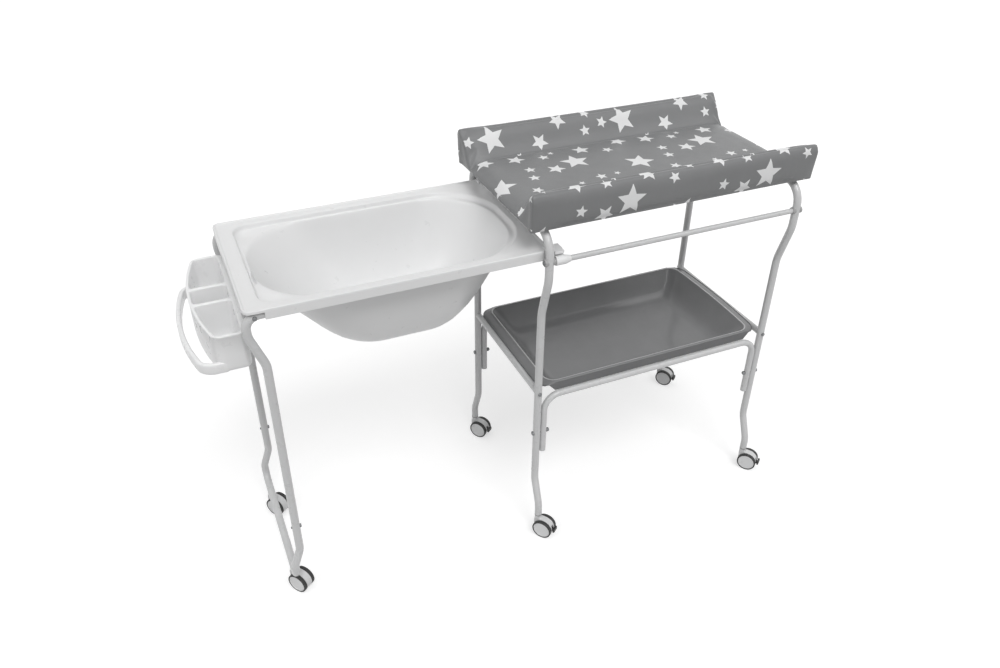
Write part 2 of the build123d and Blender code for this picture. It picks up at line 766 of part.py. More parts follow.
def soap_tray():
    floor_z = soap_rim_z - soap_depth
    outline = bowed_outline(soap_reach_end, soap_reach_middle, soap_corner)
    block_inside = extrude(Pos(0, 0, floor_z) * outline, amount=soap_depth)
    body = block_inside
    hollow = extrude(
        Pos(0, 0, floor_z + soap_floor)
        * bowed_outline(soap_reach_end, soap_reach_middle, soap_corner - soap_wall, soap_wall),
        amount=soap_depth,
    )
    body -= hollow
    for way in (-1, 1):
        y = middle_y + way * soap_middle_width / 2
        divider = block(
            (soap_wall_x - soap_reach_middle, y - soap_wall / 2, floor_z + 1),
            (soap_wall_x - soap_wall / 2, y + soap_wall / 2, soap_rim_z - soap_divider_drop),
        )
        body += divider & block_inside
    ring = extrude(
        Pos(0, 0, floor_z) * bowed_outline(towel_rail_reach_end, towel_rail_reach_middle, towel_rail_corner),
        amount=towel_rail_height,
    )
    ring -= extrude(
        Pos(0, 0, floor_z - 1)
        * bowed_outline(
            towel_rail_reach_end,
            towel_rail_reach_middle,
            towel_rail_corner - towel_rail_thickness,
            towel_rail_thickness,
        ),
        amount=towel_rail_height + 2,
    )
    ring -= block(
        (soap_wall_x - soap_reach_end + soap_corner, -frame_depth, floor_z - 2),
        (soap_wall_x + 50, 2 * frame_depth, soap_rim_z),
    )
    body += ring - hollow
    half = soap_plate_width / 2 - seat_gap
    plate = block(
        (soap_wall_x, middle_y - half, soap_foot_z),
        (soap_wall_x + soap_wall, middle_y + half, soap_plate_top_z),
    )
    foot = block(
        (soap_wall_x - soap_wall, middle_y - half, soap_foot_z),
        (soap_wall_x + soap_wall, middle_y + half, soap_foot_z + soap_foot_height),
    )
    body += plate + foot
    screw_hole = soap_screw_d + 2 * fit_gap
    for y in soap_screw_ys:
        hole_start = (soap_wall_x - 1, y, soap_screw_z)
        body -= rod(hole_start, step(hole_start, (1, 0, 0), soap_wall + 2), screw_hole)
    return body


parts["soap_tray"] = soap_tray()


# ---------------------------------------------------------------- casters
# Each caster is drawn with its swivel axis at X = 0, Y = 0 and its wheels trailing to +X.


def caster_housing(braked):
    grip = (Align.CENTER, Align.CENTER, Align.CENTER)
    body = Pos(caster_trail, 0, axle_z) * Rot(90, 0, 0) * Cylinder(housing_d / 2, housing_width, align=grip)
    body -= block((-wheel_d, -wheel_d, 0), (wheel_d * 2, wheel_d, housing_foot_z))
    web_x = swivel_boss_d * 0.4
    body += block((-web_x, -housing_width / 2, axle_z), (caster_trail, housing_width / 2, caster_top_z - 8))
    body += rod((0, 0, caster_top_z - 20), (0, 0, caster_top_z), swivel_boss_d)
    body -= wheel_clearance()
    body -= rod((0, 0, stem_base_z - seat_gap), (0, 0, caster_top_z + 1), stem_d + 2 * fit_gap)
    body -= rod(
        (caster_trail, -housing_width, axle_z), (caster_trail, housing_width, axle_z), axle_d + 2 * fit_gap
    )
    if braked:
        pivot_x = caster_trail + brake_pivot
        pocket_x = pivot_x - brake_hub_d / 2 - 1
        body -= block((pocket_x, -brake_y, 0), (wheel_d * 2, brake_y, axle_z + 12))
        pin_hole = brake_pin_d + 2 * fit_gap
        body -= rod((pivot_x, -housing_width, axle_z), (pivot_x, housing_width, axle_z), pin_hole)
    return body


def wheel_clearance():
    """The space of both wheels, a little larger than the wheels."""
    half = wheel_gap / 2
    room = wheel_d + 2
    space = rod((caster_trail, half - 0.2, axle_z), (caster_trail, wheel_d, axle_z), room)
    return space + rod((caster_trail, 0.2 - half, axle_z), (caster_trail, -wheel_d, axle_z), room)


def caster_stem(length):
    stem = rod((0, 0, stem_base_z), (0, 0, stem_base_z + length), stem_d)
    return chamfer(stem.edges().sort_by(Axis.Z)[-1], 1)


def caster_axle():
    half = wheel_gap / 2 + wheel_width - 3
    return rod((caster_trail, -half, axle_z), (caster_trail, half, axle_z), axle_d)


def caster_hub(way):
    inner = way * wheel_gap / 2
    outer = way * (wheel_gap / 2 + wheel_width)
    hub = rod((caster_trail, inner, axle_z), (caster_trail, outer, axle_z), hub_d - 2 * fit_gap)
    face = hub.edges().filter_by(GeomType.CIRCLE).sort_by(Axis.Y)[-1 if way > 0 else 0]
    hub = chamfer(face, 1.2)
    hub -= rod((caster_trail, outer - way * 0.8, axle_z), (caster_trail, outer, axle_z), hub_d - 8)
    bore_end = outer - way * (3 - 2 * fit_gap)
    return hub - rod((caster_trail, inner, axle_z), (caster_trail, bore_end, axle_z), axle_d + 0.04)


def caster_tread(way):
    inner = way * wheel_gap / 2
    outer = way * (wheel_gap / 2 + wheel_width)
    ring = rod((caster_trail, inner, axle_z), (caster_trail, outer, axle_z), wheel_d)
    ring = fillet(ring.edges().filter_by(GeomType.CIRCLE), 1.4)
    return ring - rod((caster_trail, -wheel_d, axle_z), (caster_trail, wheel_d, axle_z), hub_d)


def brake_lever():
    pivot_x = caster_trail + brake_pivot
    half = brake_y - seat_gap
    tip = pivot_x + brake_reach
    low = axle_z - brake_thickness / 2
    lever = rod((pivot_x, -half, axle_z), (pivot_x, half, axle_z), brake_hub_d)
    lever += block((pivot_x, -half, low), (tip - 1, half, low + brake_thickness))
    pad_half = housing_width / 2 - 0.2
    pad = block((tip - brake_pad_depth, -pad_half, low), (tip, pad_half, low + brake_pad_height))
    lever += fillet(pad.edges().filter_by(Axis.Y).sort_by(Axis.X)[-2:], 2)
    pin_half = housing_width / 2 - 0.2
    return lever + rod((pivot_x, -pin_half, axle_z), (pivot_x, pin_half, axle_z), brake_pin_d)


casters = {
    "front_left": (0, -foot_flare, stem_length, True),
    "front_right": (frame_length, -foot_flare, stem_length, True),
    "rear_left": (0, frame_depth + foot_flare, stem_length, True),
    "rear_right": (frame_length, frame_depth + foot_flare, stem_length, True),
    "bath_front": (cross_bar_x, bar_caster_ys[0], short_stem, False),
    "bath_rear": (cross_bar_x, bar_caster_ys[1], short_stem, False),
}
for name, (x, y, length, braked) in casters.items():
    place = Pos(x, y, 0) * Rot(0, 0, caster_angle)
    parts[name + "_caster_housing"] = place * caster_housing(braked)
    parts[name + "_caster_stem"] = place * caster_stem(length)
    parts[name + "_caster_axle"] = place * caster_axle()
    parts[name + "_caster_wheels"] = [place * caster_hub(way) for way in (-1, 1)]
    parts[name + "_caster_treads"] = [place * caster_tread(way) for way in (-1, 1)]
    if braked:
        parts[name + "_brake_lever"] = place * brake_lever()


# ---------------------------------------------------------------- export
def as_one(shape):
    """A node's shape: one solid, or a group of separate solids."""
    if isinstance(shape, list):
        return Compound(children=[solid for piece in shape for solid in piece.solids()])
    solids = shape.solids()
    return solids[0] if len(solids) == 1 else Compound(children=list(solids))


nodes = {name: as_one(shape) for name, shape in parts.items()}
all_solids = [solid for node in nodes.values() for solid in node.solids()]
table_box = Compound(children=all_solids).bounding_box()
centre_x = (table_box.min.X + table_box.max.X) / 2
centre_y = (table_box.min.Y + table_box.max.Y) / 2
for name, node in nodes.items():
    export_step(Pos(-centre_x, -centre_y, 0) * node, "parts/" + name + ".step")
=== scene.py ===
import json
import math
import random
from contextlib import contextmanager

import bmesh
import bpy
import numpy as np
from mathutils import Matrix, Vector
from mathutils.geometry import delaunay_2d_cdt


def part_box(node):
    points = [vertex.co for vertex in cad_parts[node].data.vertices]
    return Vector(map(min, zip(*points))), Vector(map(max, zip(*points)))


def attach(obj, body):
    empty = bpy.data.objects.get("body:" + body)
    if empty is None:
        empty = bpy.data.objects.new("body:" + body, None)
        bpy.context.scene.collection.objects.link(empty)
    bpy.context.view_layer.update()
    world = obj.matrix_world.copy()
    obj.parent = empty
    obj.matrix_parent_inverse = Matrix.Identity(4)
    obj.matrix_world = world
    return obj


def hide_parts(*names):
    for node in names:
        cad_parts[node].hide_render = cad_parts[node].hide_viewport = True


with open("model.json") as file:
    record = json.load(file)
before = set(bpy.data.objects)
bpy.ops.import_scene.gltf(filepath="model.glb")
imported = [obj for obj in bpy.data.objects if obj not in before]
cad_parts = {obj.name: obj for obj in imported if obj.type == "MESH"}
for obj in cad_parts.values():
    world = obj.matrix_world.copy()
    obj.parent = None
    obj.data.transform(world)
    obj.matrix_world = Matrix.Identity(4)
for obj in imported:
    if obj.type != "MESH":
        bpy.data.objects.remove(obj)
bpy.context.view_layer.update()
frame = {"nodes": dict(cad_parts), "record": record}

# Places below are in millimetres from the front leg of the left end frame, and heights from the
# floor; place() turns them into the scene's metres.
FRAME_DEPTH = 362.0
frame_low, frame_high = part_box("left_end_frame")
ORIGIN_X = (frame_low.x + frame_high.x) / 2
ORIGIN_Y = (frame_low.y + frame_high.y) / 2 - FRAME_DEPTH / 2000
MIDDLE_Y = FRAME_DEPTH / 2


def place(x, y, z):
    """A place in millimetres, as the scene has it."""
    return Vector((ORIGIN_X + x / 1000, ORIGIN_Y + y / 1000, z / 1000))


# ------------------------------------------------------------------ node helpers
class Nodes:
    """A short way to add and join shader nodes."""

    def __init__(self, tree):
        self.tree = tree

    def add(self, kind, inputs=None, **settings):
        node = self.tree.nodes.new(kind)
        for name, value in settings.items():
            setattr(node, name, value)
        for key, value in (inputs or {}).items():
            if isinstance(value, bpy.types.NodeSocket):
                self.tree.links.new(value, node.inputs[key])
            else:
                node.inputs[key].default_value = value
        return node

    def math(self, operation, *values):
        return self.add("ShaderNodeMath", dict(enumerate(values)), operation=operation).outputs[0]

    def noise(self, vector, scale, detail, roughness=0.5):
        inputs = {"Vector": vector, "Scale": scale, "Detail": detail, "Roughness": roughness}
        return self.add("ShaderNodeTexNoise", inputs).outputs["Fac"]

    def ramp(self, value, low, high, start, end):
        """low to high while the value goes from start to end."""
        inputs = {"Value": value, "From Min": start, "From Max": end, "To Min": low, "To Max": high}
        return self.add("ShaderNodeMapRange", inputs).outputs["Result"]

    def mix(self, factor, first, second):
        node = self.add("ShaderNodeMix", {"Factor": factor}, data_type="RGBA")
        for socket, value in zip((node.inputs[6], node.inputs[7]), (first, second)):
            if isinstance(value, bpy.types.NodeSocket):
                self.tree.links.new(value, socket)
            else:
                socket.default_value = value
        return node.outputs[2]


def rgba(value, factor=1.0):
    """A colour, made lighter or darker by a factor."""
    shades = value if hasattr(value, "__len__") else (value, value, value)
    return tuple(min(1.0, shade * factor) for shade in shades) + (1.0,)


def new_material(name):
    """A material with one shader, and the helper that adds nodes to it."""
    made = bpy.data.materials.new(name)
    made.use_nodes = True
    made.node_tree.nodes.clear()
    nodes = Nodes(made.node_tree)
    shader = nodes.add("ShaderNodeBsdfPrincipled")
    nodes.add("ShaderNodeOutputMaterial", {"Surface": shader.outputs[0]})
    return made, nodes, shader


COAT_ROUGH = 0.1


def surface(
    name, colour, rough, metallic=0.0, mottle=0.05, cloud=18.0, grain=900.0, relief=0.00002,
    spread=0.05, coat=0.0, stretch=(1, 1, 1), ior=1.5,
):
    """A moulded, painted or metal surface: clouded colour, uneven gloss, and a fine relief.

    mottle and spread say how far the colour and the gloss vary; cloud and grain are how many
    waves of the coarse and the fine pattern a metre holds; relief is the fine one's height.
    """
    made, nodes, shader = new_material(name)
    where = nodes.add("ShaderNodeTexCoord").outputs["Object"]
    where = nodes.add("ShaderNodeMapping", {"Vector": where, "Scale": stretch}).outputs[0]
    clouds = nodes.noise(where, cloud, 4.0)
    speckle = nodes.noise(where, grain * 0.35, 2.0)
    tone = nodes.math("MULTIPLY_ADD", speckle, 0.35, clouds)
    tone = nodes.ramp(tone, 0.0, 1.0, 0.4, 0.95)
    base = nodes.mix(tone, rgba(colour, 1 - mottle), rgba(colour, 1 + mottle))
    shader.inputs["Base Color"].default_value = rgba(colour)
    nodes.tree.links.new(base, shader.inputs["Base Color"])
    patches = nodes.noise(where, cloud * 2.3, 5.0, 0.6)
    gloss = nodes.ramp(patches, max(0.03, rough - spread), rough + spread, 0.3, 0.7)
    nodes.tree.links.new(gloss, shader.inputs["Roughness"])
    shader.inputs["Metallic"].default_value = metallic
    shader.inputs["IOR"].default_value = ior
    shader.inputs["Coat Weight"].default_value = coat
    shader.inputs["Coat Roughness"].default_value = COAT_ROUGH
    peel = nodes.noise(where, grain, 2.0)
    bump = nodes.add("ShaderNodeBump", {"Height": peel, "Distance": relief, "Strength": 1.0})
    nodes.tree.links.new(bump.outputs["Normal"], shader.inputs["Normal"])
    return made


# ------------------------------------------------------------------ the mat's star print
# Metres: the tile that repeats, each star's radius with how many the tile has, and the gap kept.
STAR_TILE = (0.345, 0.31)
STAR_SIZES = ((0.036, 3), (0.0225, 6), (0.0145, 9), (0.0085, 4))
STAR_MARGIN = 0.004
# The notches' radius over the points' radius.
STAR_NOTCH = 0.45
STAR_SEED = 23
THREAD_SPACING = 0.0011


def star_layout():
    """Stars of mixed sizes dropped at random on a repeating tile, none touching another."""
    rng = random.Random(STAR_SEED)
    stars = []
    for radius, count in STAR_SIZES:
        placed = 0
        while placed < count:
            u, v = rng.uniform(0, STAR_TILE[0]), rng.uniform(0, STAR_TILE[1])
            clear = True
            for u2, v2, radius2, _ in stars:
                du = min(abs(u - u2), STAR_TILE[0] - abs(u - u2))
                dv = min(abs(v - v2), STAR_TILE[1] - abs(v - v2))
                clear = clear and math.hypot(du, dv) > radius + radius2 + STAR_MARGIN
            if clear:
                stars.append((u, v, radius, rng.uniform(0, 2 * math.pi / 5)))
                placed += 1
    return stars


def star_group():
    """A node group: 1 inside a five-point star of radius 1 about the origin, else 0."""
    group = bpy.data.node_groups.new("five_point_star", "ShaderNodeTree")
    group.interface.new_socket("Vector", in_out="INPUT", socket_type="NodeSocketVector")
    group.interface.new_socket("Inside", in_out="OUTPUT", socket_type="NodeSocketFloat")
    nodes = Nodes(group)
    where = nodes.add("NodeGroupInput").outputs[0]
    parts = nodes.add("ShaderNodeSeparateXYZ", {"Vector": where})
    angle = nodes.math("ARCTAN2", parts.outputs["Y"], parts.outputs["X"])
    folded = nodes.math("PINGPONG", angle, math.pi / 5)
    reach = nodes.math("POWER", parts.outputs["X"], 2.0)
    reach = nodes.math("MULTIPLY_ADD", parts.outputs["Y"], parts.outputs["Y"], reach)
    reach = nodes.math("SQRT", reach)
    along = nodes.math("MULTIPLY", reach, nodes.math("COSINE", folded))
    aside = nodes.math("MULTIPLY", reach, nodes.math("SINE", folded))
    notch_x = STAR_NOTCH * math.cos(math.pi / 5)
    notch_y = STAR_NOTCH * math.sin(math.pi / 5)
    edge = nodes.math("MULTIPLY_ADD", along, notch_y, nodes.math("MULTIPLY", aside, 1 - notch_x))
    inside = nodes.math("LESS_THAN", edge, notch_y)
    nodes.add("NodeGroupOutput", {0: inside})
    return group


def star_cloth(name, ground, star):
    """Coated cloth: a fine weave under a satin skin, printed with stars."""
    made, nodes, shader = new_material(name)
    on_print = nodes.add("ShaderNodeUVMap", uv_map="print").outputs[0]
    group = star_group()
    half = (STAR_TILE[0] / 2, STAR_TILE[1] / 2)
    mask = None
    for u, v, radius, turn in star_layout():
        inputs = {0: on_print, 1: (u + half[0], v + half[1], 1.0), 2: (u - half[0], v - half[1], -1.0)}
        near = nodes.add("ShaderNodeVectorMath", inputs, operation="WRAP").outputs[0]
        inputs = {"Vector": near, "Location": (u, v, 0), "Rotation": (0, 0, turn), "Scale": (radius,) * 3}
        local = nodes.add("ShaderNodeMapping", inputs, vector_type="TEXTURE").outputs[0]
        inside = nodes.add("ShaderNodeGroup", {}, node_tree=group)
        nodes.tree.links.new(local, inside.inputs[0])
        mask = inside.outputs[0] if mask is None else nodes.math("MAXIMUM", mask, inside.outputs[0])
    where = nodes.add("ShaderNodeTexCoord").outputs["Object"]
    clouds = nodes.noise(where, 14.0, 4.0)
    cloth = nodes.mix(clouds, rgba(ground, 0.93), rgba(ground, 1.07))
    ink = nodes.mix(clouds, rgba(star, 0.96), rgba(star, 1.04))
    colour = nodes.mix(mask, cloth, ink)
    nodes.tree.links.new(colour, shader.inputs["Base Color"])
    gloss = nodes.ramp(nodes.noise(where, 30.0, 4.0), 0.28, 0.38, 0.3, 0.7)
    nodes.tree.links.new(gloss, shader.inputs["Roughness"])
    shader.inputs["Specular IOR Level"].default_value = 0.3
    parts = nodes.add("ShaderNodeSeparateXYZ", {"Vector": on_print})
    turns = 2 * math.pi / THREAD_SPACING
    threads = [nodes.math("SINE", nodes.math("MULTIPLY", parts.outputs[axis], turns)) for axis in (0, 1)]
    weave = nodes.math("MULTIPLY", *threads)
    puckers = nodes.noise(where, 38.0, 3.0, 0.45)
    fine = nodes.add("ShaderNodeBump", {"Height": weave, "Distance": 0.00004, "Strength": 0.5})
    inputs = {"Height": puckers, "Distance": 0.0016, "Strength": 0.45, "Normal": fine.outputs["Normal"]}
    bump = nodes.add("ShaderNodeBump", inputs)
    nodes.tree.links.new(bump.outputs["Normal"], shader.inputs["Normal"])
    return made


# ------------------------------------------------------------------ materials by slot
WHITE_MOULDING = {"mottle": 0.008, "grain": 150.0, "relief": 0.000006}

materials = {
    "tube_paint": surface(
        "tube_paint", (0.60, 0.603, 0.606), 0.30, mottle=0.03, coat=0.3, relief=0.000012
    ),
    "zinc_steel": surface(
        "zinc_steel", (0.20, 0.205, 0.21), 0.42,
        metallic=1.0, mottle=0.08, cloud=60.0, grain=2500.0, spread=0.08,
    ),
    "tub_plastic": surface("tub_plastic", (0.79, 0.792, 0.794), 0.32, **WHITE_MOULDING),
    "soap_plastic": surface("soap_plastic", (0.86, 0.862, 0.864), 0.30, **WHITE_MOULDING),
    "slider_plastic": surface("slider_plastic", (0.82, 0.822, 0.824), 0.42, mottle=0.03),
    "saddle_plastic": surface("saddle_plastic", 0.38, 0.5, mottle=0.06),
    "socket_plastic": surface("socket_plastic", 0.30, 0.5, mottle=0.08),
    "shelf_plastic": surface(
        "shelf_plastic", (0.222, 0.224, 0.227), 0.2, mottle=0.04, coat=0.15, ior=1.3, relief=0.000004
    ),
    # A light grey laid along the shelf tray's rim crest: a painted highlight, not the plastic's own
    # colour.
    "shelf_crest_highlight": surface(
        "shelf_crest_highlight", (0.50, 0.503, 0.506), 0.3, mottle=0.16, cloud=30.0, relief=0.000004
    ),
    "shelf_outside": surface("shelf_outside", (0.175, 0.177, 0.18), 0.55, ior=1.25, relief=0.00001),
    "hood_plastic": surface("hood_plastic", (0.68, 0.683, 0.686), 0.40, mottle=0.04),
    "wheel_plastic": surface("wheel_plastic", (0.74, 0.743, 0.746), 0.40, mottle=0.05),
    "tread_rubber": surface("tread_rubber", 0.035, 0.68, mottle=0.25, cloud=90.0, relief=0.00006),
    "lever_plastic": surface("lever_plastic", 0.02, 0.45, mottle=0.15),
    "plug_rubber": surface("plug_rubber", 0.62, 0.55, mottle=0.05, relief=0.00004),
    "board_wood": surface("board_wood", (0.16, 0.15, 0.14), 0.55, mottle=0.12, stretch=(1, 6, 1)),
    "clip_plastic": surface("clip_plastic", 0.40, 0.45, mottle=0.06),
    "mat_vinyl": star_cloth("mat_vinyl", (0.213, 0.216, 0.219), (0.80, 0.802, 0.805)),
}
for row in frame["record"]["subparts"]:
    mesh = frame["nodes"][row["node"]].data
    mesh.materials.clear()
    mesh.materials.append(materials[row["material_slot"]])


# ------------------------------------------------------------------ mesh helpers
def shade_smooth(mesh):
    for polygon in mesh.polygons:
        polygon.use_smooth = True


@contextmanager
def opened(obj):
    """The object's mesh, open for editing."""
    mesh = bmesh.new()
    mesh.from_mesh(obj.data)
    yield mesh
    mesh.to_mesh(obj.data)
    mesh.free()


def to_object(name, slot_name, verts, faces):
    """A new piece with a slot's material, from vertices in the scene's metres."""
    mesh = bpy.data.meshes.new(name)
    mesh.from_pydata([tuple(v) for v in verts], [], faces)
    mesh.validate()
    mesh.update()
    shade_smooth(mesh)
    mesh.materials.append(materials[slot_name])
    made = bpy.data.objects.new(name, mesh)
    bpy.context.scene.collection.objects.link(made)
    return made


def points_of(obj):
    """The places of a mesh's vertices, one row each, in metres."""
    flat = np.empty(len(obj.data.vertices) * 3)
    obj.data.vertices.foreach_get("co", flat)
    return flat.reshape(-1, 3)


def move_points(obj, points):
    """Puts a mesh's vertices at new places."""
    obj.data.vertices.foreach_set("co", points.ravel())
    obj.data.update()


def apply_modifiers(obj):
    """The object's mesh becomes what its modifiers make of it."""
    bpy.context.view_layer.update()
    graph = bpy.context.evaluated_depsgraph_get()
    made = bpy.data.meshes.new_from_object(obj.evaluated_get(graph))
    obj.modifiers.clear()
    old = obj.data
    obj.data = made
    bpy.data.meshes.remove(old)


def corner_ray(direction, half_x, half_y, radius):
    """How far a ray from the middle of a rounded rectangle goes to its edge."""
    cos, sin = abs(math.cos(direction)), abs(math.sin(direction))
    if cos > 1e-9 and half_x / cos * sin <= half_y - radius:
        return half_x / cos
    if sin > 1e-9 and half_y / sin * cos <= half_x - radius:
        return half_y / sin
    middle = (half_x - radius, half_y - radius)
    along = middle[0] * cos + middle[1] * sin
    inside = middle[0] ** 2 + middle[1] ** 2 - radius**2
    return along + math.sqrt(max(0.0, along**2 - inside))


def ring(directions, left, right, half_y, radii, height):
    """Points round a rounded rectangle; its left and right corners have their own radii.

    height is a number, or a function of the point's x and y.
    """
    middle_x = (left + right) / 2
    half_x = (right - left) / 2
    points = []
    for direction in directions:
        radius = min(radii[0] if math.cos(direction) < 0 else radii[1], half_y, half_x)
        reach = corner_ray(direction, half_x, half_y, radius)
        x = middle_x + reach * math.cos(direction)
        y = MIDDLE_Y + reach * math.sin(direction)
        points.append(place(x, y, height(x, y) if callable(height) else height))
    return points


MARK_GAP = 0.004


def spread_directions(half_x, half_y, count, marks=()):
    """Directions round a rectangle, evenly spread along it, with some marked points on it."""
    even = []
    for i in range(count):
        turn = 2 * math.pi * i / count
        even.append(math.atan2(half_y * math.sin(turn), half_x * math.cos(turn)) % (2 * math.pi))
    marked = [math.atan2(y, x) % (2 * math.pi) for x, y in marks]
    kept = [a for a in even if all(abs(a - m) > MARK_GAP for m in marked)]
    return sorted(kept + marked)


def loft(rings, keep=None, close_end=False):
    """Faces between rings that all have as many points; keep(i, j) can leave one out."""
    count = len(rings[0])
    verts = [p for one in rings for p in one]
    faces = []
    for i in range(len(rings) - 1):
        for j in range(count):
            if keep is None or keep(i, j):
                following = (j + 1) % count
                low, high = i * count, (i + 1) * count
                faces.append((low + j, low + following, high + following, high + j))
    if close_end:
        faces.append(tuple((len(rings) - 1) * count + j for j in range(count)))
    return verts, faces


def box_faces(verts, faces, low, high):
    """Adds a closed box, from corner to corner in millimetres."""
    start = len(verts)
    for x in (low[0], high[0]):
        for y in (low[1], high[1]):
            for z in (low[2], high[2]):
                verts.append(place(x, y, z))
    sides = ((0, 1, 3, 2), (4, 6, 7, 5), (0, 4, 5, 1), (2, 3, 7, 6), (0, 2, 6, 4), (1, 5, 7, 3))
    faces += [tuple(start + i for i in side) for side in sides]


def smooth_by_angle(obj, degrees):
    """Smooth shading, with sharp edges where faces meet at more than an angle."""
    with opened(obj) as mesh:
        for edge in mesh.edges:
            edge.smooth = len(edge.link_faces) == 2 and edge.calc_face_angle(0) < math.radians(degrees)


def thicken(obj, thickness):
    """Gives a surface a wall on its inner side, and closes its edges."""
    solid = obj.modifiers.new("wall", "SOLIDIFY")
    solid.thickness = thickness / 1000
    solid.offset = -1.0
    apply_modifiers(obj)


# ------------------------------------------------------------------ bath tub
TUB_LEFT, TUB_RIGHT, TUB_HALF = -610.0, 12.0, 194.0
DECK_Z, RIM_Z, SKIRT_Z, DECK_UNDER_Z = 797.0, 800.0, 778.0, 793.5
TUB_WALL = 3.0
# The skirt is open where a leg comes out at each left corner, and where a slider's neck goes in.
NOTCH_X, NOTCH_Y = -571.0, 170.0
NECK_X, NECK_OFFSET, NECK_HALF = -1.0, 181.0, 8.3
# The shelf round the bowl, its soap dishes at the left corners, and the slot between them.
LEDGE_Z = 787.0
DISH_X, DISH_OFFSET, DISH_SIZE, DISH_DEPTH = -545.0, 137.0, 24.0, 5.0
SLOT_Y, SLOT_HALF, SLOT_DEPTH = 139.0, 27.0, 7.0
DRAIN_X = -232.5
# Under the deck: a boss on each leg's tube, and the rib that holds the soap tray's plate.
BOSS_OFFSETS = (157.7, 171.7)
BOSS_X, BOSS_Z = (-598.0, -582.0), (779.0, 794.2)
RIB_LOW, RIB_HIGH = (-602.2, 61.0, 770.0), (-599.2, 301.0, 794.2)


def bath_tub():
    half_x = (TUB_RIGHT - TUB_LEFT) / 2
    middle_x = (TUB_RIGHT + TUB_LEFT) / 2
    marks = []
    for way in (-1, 1):
        marks += [(NOTCH_X - middle_x, way * TUB_HALF), (-half_x, way * NOTCH_Y)]
        marks += [(half_x, way * (NECK_OFFSET + side)) for side in (-NECK_HALF, NECK_HALF)]
    turns = spread_directions(half_x, TUB_HALF, 220, marks)

    def rim(inset, z):
        corner = max(14.0 - inset, 4.0)
        return ring(turns, TUB_LEFT + inset, TUB_RIGHT - inset, TUB_HALF - inset, (corner, corner), z)

    def shape(left, right, half, left_corner, right_corner, z):
        return ring(turns, left, right, half, (left_corner, right_corner), z)

    def ledge_z(x, y):
        """The shelf round the bowl dips into a soap dish at each left corner, and into the slot."""
        across = abs(y - MIDDLE_Y)
        dish = math.exp(-((x - DISH_X) / DISH_SIZE) ** 2 - ((across - DISH_OFFSET) / DISH_SIZE) ** 2)
        slot = math.exp(-(((y - SLOT_Y) / SLOT_HALF) ** 6)) if x < middle_x else 0.0
        return LEDGE_Z - DISH_DEPTH * dish - SLOT_DEPTH * slot

    rings = [
        rim(0, SKIRT_Z),
        rim(0, 786),
        rim(0, DECK_UNDER_Z),
        rim(0, 797.5),
        rim(0.5, 799.2),
        rim(1.5, 799.9),
        rim(2.8, RIM_Z),
        rim(4.0, 799.4),
        rim(5.2, 797.6),
        rim(7.0, DECK_Z),
        shape(-585, -4, 177, 40, 90, DECK_Z),
        shape(-576.5, -6.5, 170.5, 34, 136, DECK_Z),
        shape(-575.2, -7.8, 169.3, 33, 137, 796.5),
        shape(-574.2, -9.0, 168.4, 32, 138, 795.0),
        shape(-573.4, -10.6, 167.6, 31, 139, 791.5),
        shape(-572.4, -12.4, 166.8, 31, 140, 788.3),
        shape(-570.6, -15.6, 165.6, 34, 141, ledge_z),
        shape(-569, -17.4, 164.6, 56, 142, ledge_z),
        shape(-567.6, -19.2, 163.7, 84, 143, ledge_z),
        shape(-566.6, -20.8, 162.9, 112, 143, ledge_z),
        shape(-565.6, -22.4, 162.2, 128, 144, 786.2),
        shape(-564.4, -24, 161.2, 136, 144, 784.2),
        shape(-562.6, -26, 159.8, 140, 144, 780.0),
        shape(-559, -29, 158.2, 142, 143, 774.0),
    ]
    # height, left, right, half width, left and right corner
    bowl = (
        (765, -551, -35, 156, 141, 141),
        (745, -535, -45, 151, 138, 137),
        (720, -516, -58, 145, 134, 132),
        (695, -496, -73, 139, 129, 126),
        (672, -476, -88, 131.5, 122, 118),
        (652, -459, -103, 124, 114, 110),
        (635, -443, -118, 116, 105, 102),
        (622, -429, -131, 108.5, 97, 94),
        (613, -416, -143, 101, 89, 87),
        (608, -403, -155, 92, 80, 79),
        (605.6, -385, -172, 78, 68, 67),
    )
    rings += [shape(left, right, half, a, b, z) for z, left, right, half, a, b in bowl]
    for radius, z in ((38, 605.0), (19, 604.9), (16, 604.4), (15, 603.2), (15, 602.2)):
        rings.append(ring(turns, DRAIN_X - radius, DRAIN_X + radius, radius, (radius, radius), z))

    corners = rings[0]

    def outside_openings(i, j):
        """Whether a face stays: all do but those in the skirt's openings."""
        if i > 1:
            return True
        middle = (corners[j] + corners[(j + 1) % len(corners)]) / 2 - place(0, 0, 0)
        x, y = middle.x * 1000, abs(middle.y * 1000 - MIDDLE_Y)
        left_corner = x < NOTCH_X and y > NOTCH_Y
        neck = x > NECK_X and abs(y - NECK_OFFSET) < NECK_HALF
        return not (left_corner or neck)

    verts, faces = loft(rings, outside_openings)
    tub = to_object("bath_tub_shell", "tub_plastic", verts, faces)
    thicken(tub, TUB_WALL)
    extra_verts, extra_faces = [], []
    for way in (-1, 1):
        near, far = sorted(MIDDLE_Y + way * offset for offset in BOSS_OFFSETS)
        low, high = (BOSS_X[0], near, BOSS_Z[0]), (BOSS_X[1], far, BOSS_Z[1])
        box_faces(extra_verts, extra_faces, low, high)
    box_faces(extra_verts, extra_faces, RIB_LOW, RIB_HIGH)
    with opened(tub) as mesh:
        made = [mesh.verts.new(v) for v in extra_verts]
        for face in extra_faces:
            mesh.faces.new([made[i] for i in face])
        bmesh.ops.recalc_face_normals(mesh, faces=mesh.faces)
    shade_smooth(tub.data)
    smooth_by_angle(tub, 42)
    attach(tub, "bath_carriage")
    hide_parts("bath_tub")


bath_tub()


# ------------------------------------------------------------------ shelf tray
RIGHT_BOW = 10.0
TRAY_WALL = 2.5
TRAY_FLOOR_Z = 375.8
